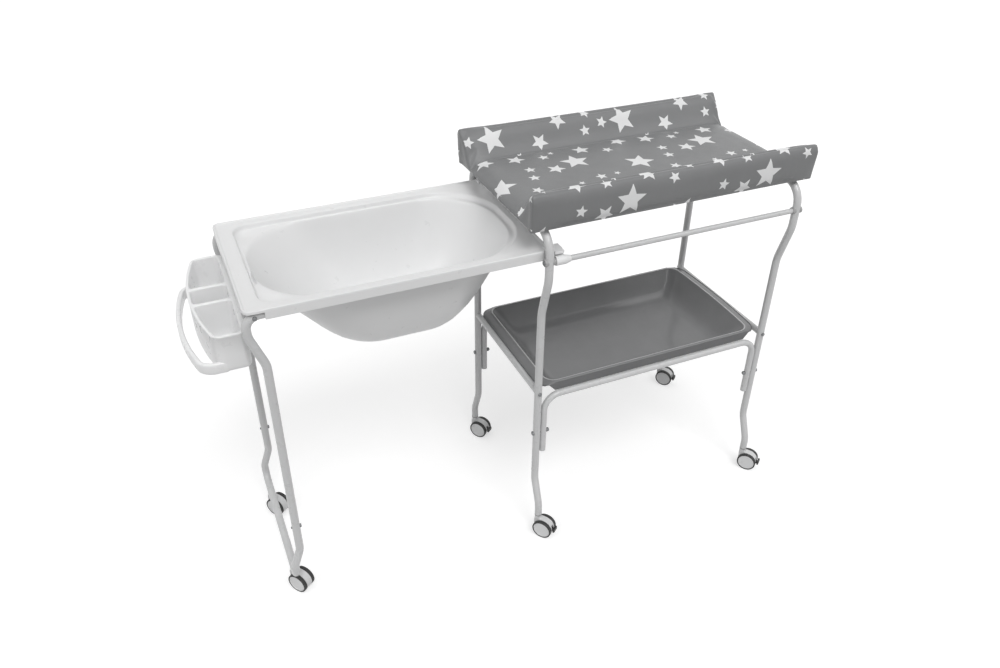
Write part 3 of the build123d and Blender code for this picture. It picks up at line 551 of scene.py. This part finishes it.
# The rim's ends reach this far in, and blend into its sides over the second length.
END_REACH, END_BLEND = 30.0, 6.0
# Material indexes: 1 for the outer faces, 2 for the band either side of the rim's crest, which is painted
# lighter as a painted highlight.
OUTSIDE, CREST_HIGHLIGHT = 1, 2


def shelf_tray():
    left, right, half = 4.0, 626.0, 178.0
    seat_front, seat_end, top = 416.3, 433.6, 441.3
    turns = spread_directions((right - left) / 2, half, 220)

    def at_end(x):
        """0 along the sides and 1 at the ends."""
        reach = abs(x - (left + right) / 2) - ((right - left) / 2 - END_REACH)
        return min(1.0, max(0.0, (reach + END_BLEND) / END_BLEND))

    def low_edge(x, y):
        """The lip is shallow at the ends, over the cross tubes."""
        return seat_front + (seat_end - seat_front) * at_end(x)

    def middle_edge(x, y):
        return (low_edge(x, y) + top - 3) / 2

    def shape(ends, sides, corner, z):
        """A rounded rectangle whose right end bows out in its middle."""
        points = ring(turns, left + ends, right - ends, half - sides, (corner, corner), z)
        for point in points:
            local = (point - place((left + right) / 2, MIDDLE_Y, 0)) * 1000
            reach = max(0.0, local.x / (right - left) * 2)
            point.x -= RIGHT_BOW * reach**4 * (local.y / half) ** 2 / 1000
        return points

    def crest(fall):
        """The rim's height: fall below its crest at the ends, and about a third of that beside."""

        def height(x, y):
            return top - fall * (0.35 + 0.65 * at_end(x))

        return height

    crest_edge = shape(23.6, 6.0, 25.8, top)
    rings = [
        shape(0, 0, 30, low_edge),
        shape(0, 0, 30, middle_edge),
        shape(0.3, 0.2, 30, crest(6.8)),
        shape(1.6, 0.5, 29.6, crest(6.0)),
        shape(8, 1.2, 29, crest(4.6)),
        shape(16, 2.2, 28, crest(2.9)),
        shape(19.4, 3.0, 27, crest(2.2)),
        shape(20.6, 3.6, 27, crest(0.9)),
        shape(22, 4.6, 26.4, crest(0.1)),
        crest_edge,
        shape(25.2, 7.4, 25.2, top - 0.8),
        shape(26.4, 9.0, 24.6, top - 2.8),
        shape(28.2, 11.4, 24.4, top - 6.0),
        shape(33, 17.5, 24, 429.0),
        shape(45, 31.0, 24, 411.0),
        shape(54, 41.5, 24, 398.2),
        shape(61, 49.0, 24, 390.0),
        shape(68, 57.0, 24, 383.4),
        shape(76, 65.5, 24, 379.0),
        shape(85, 75.0, 22, 376.6),
        shape(95, 84.0, 18, TRAY_FLOOR_Z),
        shape(150, 115, 16, TRAY_FLOOR_Z),
        shape(280, 165, 10, TRAY_FLOOR_Z),
    ]
    verts, faces = loft(rings, close_end=True)
    tray = to_object("shelf_tray_shell", "shelf_plastic", verts, faces)
    for extra in ("shelf_outside", "shelf_crest_highlight"):
        tray.data.materials.append(materials[extra])
    # The faces either side of the crest take the light grey: a painted highlight along the rim.
    crest_face = rings.index(crest_edge) * len(turns)
    for polygon in tray.data.polygons[crest_face - len(turns):crest_face + len(turns)]:
        polygon.material_index = CREST_HIGHLIGHT
    thicken(tray, TRAY_WALL)
    centre = place((left + right) / 2, MIDDLE_Y, 0)
    for polygon in tray.data.polygons:
        normal, away = polygon.normal, (polygon.center - centre) * 1000
        on_end = (abs(away.x) - (right - left) / 2) > (abs(away.y) - half)
        faces_out = normal.x * away.x > 0 if on_end else normal.y * away.y > 0
        if normal.z < -0.5 or (faces_out and normal.z < 0.3):
            polygon.material_index = OUTSIDE
    smooth_by_angle(tray, 40)
    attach(tray, "shelf")
    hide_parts("shelf_tray")


shelf_tray()


# ------------------------------------------------------------------ soap tray
SOAP_BACK, SOAP_HALF = -605.0, 160.5
SOAP_FLOOR_Z, SOAP_RIM_Z = 661.0, 743.0
# How far an outline reaches from the tub: at its ends, and in its bowed middle.
SOAP_REACHES = (62.0, 87.0)
RAIL_REACHES = (94.0, 119.0)
SOAP_RIM_WIDTH, SOAP_BACK_WIDTH, DIVIDER = 3.2, 8.0, 4.4
DIVIDER_OFFSET = 32.0
SOAP_FRONT_MORE = 3.0
SOAP_CORNER, POCKET_CORNER = 14.0, 8.0
TRAY_SPAN = (MIDDLE_Y - SOAP_HALF - SOAP_FRONT_MORE, MIDDLE_Y + SOAP_HALF)
POCKET_EDGES = (
    -SOAP_HALF - SOAP_FRONT_MORE + SOAP_RIM_WIDTH,
    -DIVIDER_OFFSET,
    DIVIDER_OFFSET,
    SOAP_HALF - SOAP_RIM_WIDTH,
)
# The back plate, which stands behind the tub's skirt, and its thicker foot.
PLATE_LOW, PLATE_HIGH = (SOAP_BACK, 61.3, 723.0), (SOAP_BACK + 2.5, 300.7, 791.5)
FOOT_LOW, FOOT_HIGH = (SOAP_BACK - 2.5, 61.6, 723.4), (SOAP_BACK + 1.2, 300.4, 733.0)
RAIL_LOW, RAIL_HIGH, RAIL_HALF, RAIL_ROUND = 661.2, 684.6, 5.0, 3.2
RAIL_CORNER, RAIL_START = 26.0, 46.0
# bowed_ring looks for an outline within this reach, halving the stretch so many times.
FARTHEST, HALVINGS = 400.0, 34


def bowed_gap(x, y, reaches, back, span, radius):
    """How far outside an outline a point is: straight at its back and sides, an arc at its front."""
    sagitta = reaches[1] - reaches[0]
    arc = (SOAP_HALF**2 + sagitta**2) / (2 * sagitta)
    front = math.hypot(x - (SOAP_BACK - reaches[1] + arc), y - MIDDLE_Y) - arc
    ends = max(front, x - back) + radius
    sides = abs(y - (span[0] + span[1]) / 2) - (span[1] - span[0]) / 2 + radius
    return math.hypot(max(ends, 0), max(sides, 0)) + min(max(ends, sides), 0) - radius


def bowed_ring(turns, reaches, back, span, radius, inset, z):
    """Points where rays from an outline's middle cross it, once it is set in by an amount."""
    start_x, start_y = back - reaches[0] / 2, (span[0] + span[1]) / 2
    points = []
    for turn in turns:
        low, high = 0.0, FARTHEST
        for _ in range(HALVINGS):
            reach = (low + high) / 2
            x, y = start_x + reach * math.cos(turn), start_y + reach * math.sin(turn)
            if bowed_gap(x, y, reaches, back, span, radius) < -inset:
                low = reach
            else:
                high = reach
        points.append(place(x, y, z))
    return points


def soap_pockets():
    """The three pockets' places: the front, middle and rear one between the rim and the dividers."""
    middle = DIVIDER / 2
    front, low, high, rear = (MIDDLE_Y + edge for edge in POCKET_EDGES)
    return (front, low - middle), (low + middle, high - middle), (high + middle, rear)


def land_faces(outlines, keep):
    """Triangles that fill the flat land between an outline and the holes in it."""
    flat, edges = [], []
    for outline in outlines:
        first = len(flat)
        flat += [Vector((p.x, p.y)) for p in outline]
        edges += [(first + i, first + (i + 1) % len(outline)) for i in range(len(outline))]
    made = delaunay_2d_cdt(flat, edges, [], 0, 1e-7)
    verts = [Vector((p.x, p.y, outlines[0][0].z)) for p in made[0]]
    faces = [tuple(face) for face in made[2] if keep(sum((verts[i] for i in face), Vector()) / len(face))]
    return verts, faces


def soap_tray():
    turns = spread_directions(36, SOAP_HALF, 200)
    floor, rim = SOAP_FLOOR_Z, SOAP_RIM_Z

    def shape(inset, z, radius=SOAP_CORNER):
        return bowed_ring(turns, SOAP_REACHES, SOAP_BACK, TRAY_SPAN, radius, inset, z)

    rings = [
        shape(22, floor, 26),
        shape(9, floor, 18),
        shape(5, floor + 0.5, 16),
        shape(2.2, floor + 2.0),
        shape(0.7, floor + 5.0),
        shape(0.1, floor + 10.0),
        shape(0, 700.0),
        shape(0, rim - 5.5),
        shape(-0.7, rim - 4.6),
        shape(-1.0, rim - 3.0),
        shape(-0.9, rim - 1.6),
        shape(-0.3, rim - 0.5),
        shape(0.9, rim),
    ]
    verts, faces = loft(rings)
    faces.append(tuple(range(len(turns)))[::-1])
    outlines = [rings[-1]]
    pocket_back = SOAP_BACK - SOAP_BACK_WIDTH
    pocket_reaches = tuple(reach - SOAP_RIM_WIDTH for reach in SOAP_REACHES)
    pocket_turns = spread_directions(30, 30, 96)
    # A pocket's wall from its rim down: how far in, and how high.
    profile = ((0, rim), (1.1, rim - 0.4), (1.9, rim - 1.5), (2.3, rim - 3.5), (3.4, 715.0), (5.6, 686.0))
    profile += ((7.2, 678.0), (9.8, 671.5), (13.5, 667.8), (18, 666.2), (23, 666.0))
    for span in soap_pockets():
        cup = []
        for i, (inset, z) in enumerate(profile):
            radius = POCKET_CORNER + i * 0.8
            cup.append(bowed_ring(pocket_turns, pocket_reaches, pocket_back, span, radius, inset, z))
        outlines.append(cup[0])
        cup_verts, cup_faces = loft(cup, close_end=True)
        faces += [tuple(len(verts) + i for i in face) for face in cup_faces]
        verts += cup_verts

    def on_land(point):
        """Whether a point lies on the rim's land, clear of the pockets and inside its edge."""
        x, y, _ = (point - place(0, 0, 0)) * 1000
        for span in soap_pockets():
            if bowed_gap(x, y, pocket_reaches, pocket_back, span, POCKET_CORNER) <= 0:
                return False
        return bowed_gap(x, y, SOAP_REACHES, SOAP_BACK, TRAY_SPAN, SOAP_CORNER) < -0.9

    land_verts, land = land_faces(outlines, on_land)
    faces += [tuple(len(verts) + i for i in face) for face in land]
    verts += land_verts
    box_faces(verts, faces, PLATE_LOW, PLATE_HIGH)
    box_faces(verts, faces, FOOT_LOW, FOOT_HIGH)
    towel_rail(verts, faces)
    tray = to_object("soap_tray_shell", "soap_plastic", verts, faces)
    with opened(tray) as mesh:
        bmesh.ops.remove_doubles(mesh, verts=mesh.verts, dist=0.00001)
        bmesh.ops.recalc_face_normals(mesh, faces=mesh.faces)
    smooth_by_angle(tray, 40)
    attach(tray, "bath_carriage")
    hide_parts("soap_tray")


def towel_rail(verts, faces):
    """A bowed bar, 10 mm thick, that leaves the tray's sides and runs round its front."""
    turns = spread_directions(52, SOAP_HALF, 400)
    line = bowed_ring(turns, RAIL_REACHES, SOAP_BACK, TRAY_SPAN, RAIL_CORNER, RAIL_HALF, 0)
    line = [p for p in line if p.x < place(SOAP_BACK - RAIL_START, 0, 0).x]
    side_x, low_z, high_z = RAIL_HALF - RAIL_ROUND, RAIL_LOW + RAIL_ROUND, RAIL_HIGH - RAIL_ROUND
    section = []
    corners = ((side_x, high_z, 0), (-side_x, high_z, 90), (-side_x, low_z, 180), (side_x, low_z, 270))
    for x, z, first in corners:
        for step in (0, 30, 60, 90):
            angle = math.radians(first + step)
            section.append((x + RAIL_ROUND * math.cos(angle), z + RAIL_ROUND * math.sin(angle)))
    first_vert = len(verts)
    for i, point in enumerate(line):
        along = line[min(i + 1, len(line) - 1)] - line[max(i - 1, 0)]
        side = Vector((along.y, -along.x, 0)).normalized()
        for across, z in section:
            verts.append(Vector((point.x, point.y, z / 1000)) + side * across / 1000)
    count = len(section)
    for i in range(len(line) - 1):
        for j in range(count):
            a, b = first_vert + i * count + j, first_vert + i * count + (j + 1) % count
            faces.append((a, b, b + count, a + count))
    faces.append(tuple(first_vert + j for j in range(count)))
    faces.append(tuple(first_vert + (len(line) - 1) * count + j for j in range(count))[::-1])


soap_tray()


# ------------------------------------------------------------------ changing mat
MAT_LEFT, MAT_RIGHT = -40.0, 658.0
MAT_HALF = 206.0
MAT_LOW, MAT_PAD, MAT_TOP = 849.3, 868.3, 929.3
RIDGE, WING = 12.0, 72.0
SWELL_ROOM = 0.6
# The pad starts this much too low and too long, and press_flat() trims it to crisp edges.
TRIM, END_TRIM = 5.0, 2.5
# How far the filled pad passes the solid's right end.
OVERHANG = 3.5
# How much lower the flat pad and the wings are at the mat's ends.
PAD_THINS, WING_DROPS = 11.0, 1.5
# Sections from each end inwards, and the even ones between them.
END_STATIONS = (-END_TRIM, 3, 8, 16, 28, 45)
EVEN_FROM, EVEN_COUNT = 75.0, 24
# The seams' distance from the mat's middle line, and in millimetres their width.
WELD_OFFSET = MAT_HALF - WING - 3
WELD_WIDTH = 2.8
GATHERS, GATHERS_REACH = 9, 42.0
# Metres: the voxels of the even mesh, the farthest that a point swells, and two depths.
VOXEL = 0.005
SWELL_CAP = 0.0042
WELD_DEPTH, GATHERS_DEPTH = 0.0052, 0.0018
SWELL_FRAMES = 20
# A face belongs to an end or to the underside when its normal's share that way is above this.
FACING = 0.72


def mat_profile(inset=0.0, end=0.0):
    """The mat's section from the front bottom edge over the top to the back one, as (y, z).

    end is 0 along the mat and 1 at its ends, where the flat pad thins to its seam.
    """
    pad = MAT_PAD - inset - PAD_THINS * end
    top = MAT_TOP - inset - WING_DROPS * end
    outer = MAT_HALF - inset
    half = [
        (outer, MAT_LOW - TRIM),
        (outer + 0.6, MAT_LOW + 22),
        (outer + 0.3, top - 17),
        (outer - 1.2, top - 10),
        (outer - 5.0, top - 3.8),
        (outer - 9.6, top - 0.6),
        (outer - 13.6, top - 0.4),
        (outer - 18.0, top - 3.6),
        (outer - 24, top - 10),
        (outer - RIDGE - 24, top - 22),
        (outer - RIDGE - 42, pad + 15.5),
        (outer - WING + 6, pad + 3.0),
        (outer - WING - 2, pad - 1.2),
        (outer - WING - 12, pad + 0.4),
        (outer - WING - 60, pad + 1.6),
    ]
    front = [(MIDDLE_Y - y, z) for y, z in half]
    back = [(MIDDLE_Y + y, z) for y, z in reversed(half)]
    return front + [(MIDDLE_Y, pad + 2.0)] + back


def print_place(y, z):
    """How far round the section, from the front bottom edge, a point lies, in millimetres."""
    line = np.array(mat_profile())
    starts, steps = line[:-1], np.diff(line, axis=0)
    lengths = np.linalg.norm(steps, axis=1)
    before = np.concatenate([[0.0], np.cumsum(lengths)[:-1]])
    point = np.stack([y, z], axis=-1)[:, None, :]
    share = np.clip(((point - starts) * steps).sum(-1) / lengths**2, 0.0, 1.0)
    nearest = starts + share[..., None] * steps
    gap = np.linalg.norm(point - nearest, axis=-1)
    best = gap.argmin(axis=1)
    rows = np.arange(len(best))
    return before[best] + share[rows, best] * lengths[best]


def in_millimetres(points):
    """place() undone, for rows of points."""
    return (points - np.array(place(0, 0, 0))) * 1000


def add_print(obj):
    """Lays the cloth's print on the mat: round the section, on round the ends, flat beneath."""
    mesh = obj.data
    count = len(mesh.loops)
    vertex = np.empty(count, int)
    mesh.loops.foreach_get("vertex_index", vertex)
    normals = np.empty(len(mesh.polygons) * 3)
    mesh.polygons.foreach_get("normal", normals)
    sizes = np.empty(len(mesh.polygons), int)
    mesh.polygons.foreach_get("loop_total", sizes)
    facing = np.repeat(normals.reshape(-1, 3), sizes, axis=0)
    at = in_millimetres(points_of(obj))[vertex]
    u = at[:, 0]
    v = print_place(at[:, 1], at[:, 2])
    capped = np.abs(facing[:, 0]) > FACING
    front = at[:, 1] < MIDDLE_Y
    depth = np.where(front, at[:, 1] - (MIDDLE_Y - MAT_HALF), MIDDLE_Y + MAT_HALF - at[:, 1])
    total = print_place(np.array([MIDDLE_Y + MAT_HALF]), np.array([MAT_LOW]))[0]
    rise = at[:, 2] - MAT_LOW
    left = facing[:, 0] < 0
    u = np.where(capped, np.where(left, MAT_LEFT - depth, MAT_RIGHT + depth), u)
    v = np.where(capped, np.where(front, rise, total - rise), v)
    v = np.where(facing[:, 2] < -FACING, MIDDLE_Y - MAT_HALF - at[:, 1], v)
    layer = mesh.uv_layers.new(name="print")
    layer.data.foreach_set("uv", (np.stack([u, v], axis=-1) / 1000).astype(np.float32).ravel())


def changing_mat():
    stations = [MAT_LEFT + SWELL_ROOM + d for d in END_STATIONS]
    stations += list(np.linspace(MAT_LEFT + EVEN_FROM, MAT_RIGHT - EVEN_FROM, EVEN_COUNT))
    stations += [MAT_LEFT + MAT_RIGHT - x for x in reversed(stations[:len(END_STATIONS)])]
    sections = []
    for x in stations:
        from_end = min(x - MAT_LEFT, MAT_RIGHT - x) - SWELL_ROOM
        end = math.exp(-((max(0.0, from_end) / 20) ** 1.4))
        sections.append([place(x, y, z) for y, z in mat_profile(SWELL_ROOM, end)])
    verts, faces = loft(sections)
    count = len(sections[0])
    faces.append(tuple(range(count))[::-1])
    faces.append(tuple(range(len(verts) - count, len(verts))))
    mat = to_object("changing_mat_pad", "mat_vinyl", verts, faces)
    with opened(mat) as mesh:
        bmesh.ops.triangulate(mesh, faces=[f for f in mesh.faces if len(f.verts) > 4])
        bmesh.ops.recalc_face_normals(mesh, faces=mesh.faces)
    remesh = mat.modifiers.new("even", "REMESH")
    remesh.mode = "VOXEL"
    remesh.voxel_size = VOXEL
    apply_modifiers(mat)
    swell(mat)
    soften = mat.modifiers.new("soft", "SUBSURF")
    soften.levels = soften.render_levels = 1
    apply_modifiers(mat)
    weld_lines(mat)
    low = place(MAT_LEFT, MIDDLE_Y - MAT_HALF, MAT_LOW)
    press_flat(mat, low, place(MAT_RIGHT, MIDDLE_Y + MAT_HALF, MAT_TOP))
    fit_box(mat, low, place(MAT_RIGHT + OVERHANG, MIDDLE_Y + MAT_HALF, MAT_TOP))
    shade_smooth(mat.data)
    add_print(mat)
    mat.data.materials.clear()
    mat.data.materials.append(materials["mat_vinyl"])
    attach(mat, "mat")
    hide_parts("changing_mat")


def swell(obj):
    """Inflates a pad a little with a cloth simulation, and limits how far each point moves."""
    start = points_of(obj)
    cloth = obj.modifiers.new("fill", "CLOTH")
    cloth.settings.use_pressure = True
    cloth.settings.uniform_pressure_force = 4.0
    cloth.settings.effector_weights.gravity = 0.0
    cloth.settings.tension_stiffness = 15.0
    cloth.settings.bending_stiffness = 0.5
    cloth.point_cache.frame_start = 1
    cloth.point_cache.frame_end = SWELL_FRAMES
    scene = bpy.context.scene
    for step in range(1, SWELL_FRAMES + 1):
        scene.frame_set(step)
    apply_modifiers(obj)
    scene.frame_set(1)
    move = points_of(obj) - start
    size = np.linalg.norm(move, axis=1, keepdims=True)
    move *= np.minimum(1.0, SWELL_CAP / np.maximum(size, 1e-9))
    # what lies on the board swells down by no more than half a millimetre
    low = start[:, 2] < MAT_LOW / 1000 + 0.006
    move[low, 2] = np.maximum(move[low, 2], -0.0005)
    move_points(obj, start + move)


def press_flat(obj, low, high):
    """Presses a pad's underside and ends flat, which leaves their edges crisp."""
    points = points_of(obj)
    points[:, 0] = np.clip(points[:, 0], low[0], high[0])
    points[:, 2] = np.maximum(points[:, 2], low[2])
    move_points(obj, points)


def fit_box(obj, low, high):
    """Stretches a piece so that its bounds are the given ones."""
    points = points_of(obj)
    now_low, now_high = points.min(axis=0), points.max(axis=0)
    low, high = np.array(low), np.array(high)
    move_points(obj, low + (points - now_low) / (now_high - now_low) * (high - low))


def weld_lines(obj):
    """Presses in the welds where each wing meets the flat pad, and the gathers at their ends."""
    points = points_of(obj)
    local = in_millimetres(points)
    from_weld = np.abs(local[:, 1] - MIDDLE_Y) - WELD_OFFSET
    from_end = np.minimum(local[:, 0] - MAT_LEFT, MAT_RIGHT - local[:, 0])
    seam = np.exp(-((from_weld / WELD_WIDTH) ** 2))
    reach = np.hypot(from_end, from_weld)
    fading = np.exp(-((reach / GATHERS_REACH) ** 2)) * reach / (reach + 10)
    gathers = np.sin(GATHERS * np.arctan2(from_weld, from_end)) * fading
    on_top = local[:, 2] > MAT_LOW + 7
    points[:, 2] -= np.where(on_top, seam * WELD_DEPTH + gathers * GATHERS_DEPTH, 0.0)
    move_points(obj, points)


changing_mat()


# ------------------------------------------------------------------ stage, light and camera
FLOOR_GLOW = 0.55
FLOOR_REACH = 12.0


def stage_floor():
    made, nodes, shader = new_material("floor")
    where = nodes.add("ShaderNodeTexCoord").outputs["Object"]
    tone = nodes.mix(nodes.noise(where, 3.0, 2.0), rgba(0.58), rgba(0.60))
    nodes.tree.links.new(tone, shader.inputs["Base Color"])
    shader.inputs["Roughness"].default_value = 0.9
    shader.inputs["Specular IOR Level"].default_value = 0.0
    seen = nodes.add("ShaderNodeLightPath")
    mirrored = nodes.math("MAXIMUM", seen.outputs["Is Camera Ray"], seen.outputs["Is Glossy Ray"])
    glow = nodes.math("MULTIPLY", mirrored, FLOOR_GLOW)
    shader.inputs["Emission Color"].default_value = rgba(1.0)
    nodes.tree.links.new(glow, shader.inputs["Emission Strength"])
    far = FLOOR_REACH
    corners = [(-far, -far, 0), (far, -far, 0), (far, far, 0), (-far, far, 0)]
    mesh = bpy.data.meshes.new("floor")
    mesh.from_pydata(corners, [], [(0, 1, 2, 3)])
    mesh.materials.append(made)
    floor = bpy.data.objects.new("floor", mesh)
    bpy.context.scene.collection.objects.link(floor)


def sun(name, azimuth, elevation, strength, softness):
    """A distant lamp. At azimuth 0 it shines from the front, at a greater one more from the left."""
    data = bpy.data.lights.new(name, "SUN")
    data.energy = strength
    data.angle = math.radians(softness)
    made = bpy.data.objects.new(name, data)
    turn, rise = math.radians(azimuth), math.radians(elevation)
    way = Vector((math.sin(turn) * math.cos(rise), math.cos(turn) * math.cos(rise), -math.sin(rise)))
    made.rotation_euler = way.to_track_quat("-Z", "Y").to_euler()
    bpy.context.scene.collection.objects.link(made)


stage_floor()
sun("key", 0, 56, 1.10, 25)
sun("side", 70, 42, 0.50, 30)
sun("far_side", -52, 51, 0.32, 24)


def studio_world():
    """White all round, brighter overhead than at the sides."""
    world = bpy.data.worlds.new("studio")
    bpy.context.scene.world = world
    world.use_nodes = True
    world.node_tree.nodes.clear()
    nodes = Nodes(world.node_tree)
    way = nodes.add("ShaderNodeTexCoord").outputs["Generated"]
    height = nodes.add("ShaderNodeSeparateXYZ", {"Vector": way}).outputs["Z"]
    lit = nodes.ramp(height, 0.17, 0.58, 0.0, 0.9)
    seen = nodes.add("ShaderNodeLightPath")
    mirrored = nodes.math("MAXIMUM", seen.outputs["Is Camera Ray"], seen.outputs["Is Glossy Ray"])
    strength = nodes.math("MAXIMUM", lit, mirrored)
    background = nodes.add("ShaderNodeBackground", {"Color": rgba(1.0), "Strength": strength})
    nodes.add("ShaderNodeOutputWorld", {"Surface": background.outputs[0]})


studio_world()

# Millimetres for the eye, degrees for its turns, and shifts as shares of the picture's width.
CAMERA_PLACE = (-705.5, -1362.0, 1622.3)
CAMERA_TURN, CAMERA_TILT, CAMERA_ROLL = 24.1, 34.1, 0.6
SENSOR_WIDTH, LENS = 36.0, 30.3732
SHIFT_X, SHIFT_Y = -0.0006, 0.0003


def photo_camera():
    """The camera that stands where the photograph's did."""
    data = bpy.data.cameras.new("camera")
    data.sensor_width, data.lens = SENSOR_WIDTH, LENS
    data.shift_x, data.shift_y = SHIFT_X, SHIFT_Y
    made = bpy.data.objects.new("camera", data)
    bpy.context.scene.collection.objects.link(made)
    made.location = place(*CAMERA_PLACE)
    turn, tilt = math.radians(CAMERA_TURN), math.radians(CAMERA_TILT)
    way = Vector((math.sin(turn) * math.cos(tilt), math.cos(turn) * math.cos(tilt), -math.sin(tilt)))
    look = way.to_track_quat("-Z", "Y").to_matrix().to_4x4()
    rolled = look @ Matrix.Rotation(math.radians(CAMERA_ROLL), 4, "Z")
    made.rotation_euler = rolled.to_euler()
    bpy.context.scene.camera = made


photo_camera()
bpy.context.scene.view_settings.view_transform = "Standard"
